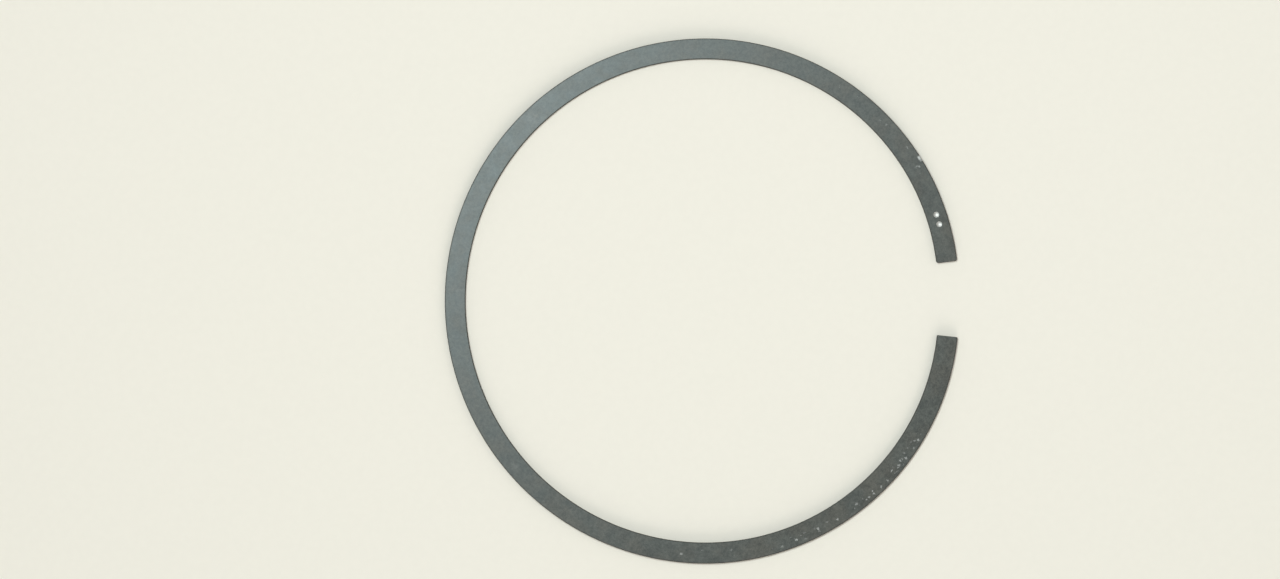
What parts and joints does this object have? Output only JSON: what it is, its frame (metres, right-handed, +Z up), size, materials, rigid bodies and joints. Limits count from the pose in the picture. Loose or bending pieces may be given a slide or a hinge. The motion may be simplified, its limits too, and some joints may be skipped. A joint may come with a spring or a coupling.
{
  "type": "piston ring",
  "caption": "Split compression ring in its free, opened shape, with a tapered running face and an undercut scraping edge; seals a piston against its bore and scrapes oil down.",
  "frame": {"origin": "middle of the ring's length and width, on the plane of its lower side", "axes": "+Z up through the upper side, towards the piston crown; +X through the gap between the ends; +Y along the free ring's longest width"},
  "size_m": [0.0824, 0.0844, 0.0012],
  "materials": {
    "phosphated_iron": "matte slate-grey phosphate"
  },
  "bodies": {
    "root": {"piston_ring": "phosphated_iron"}
  },
  "joints": []
}
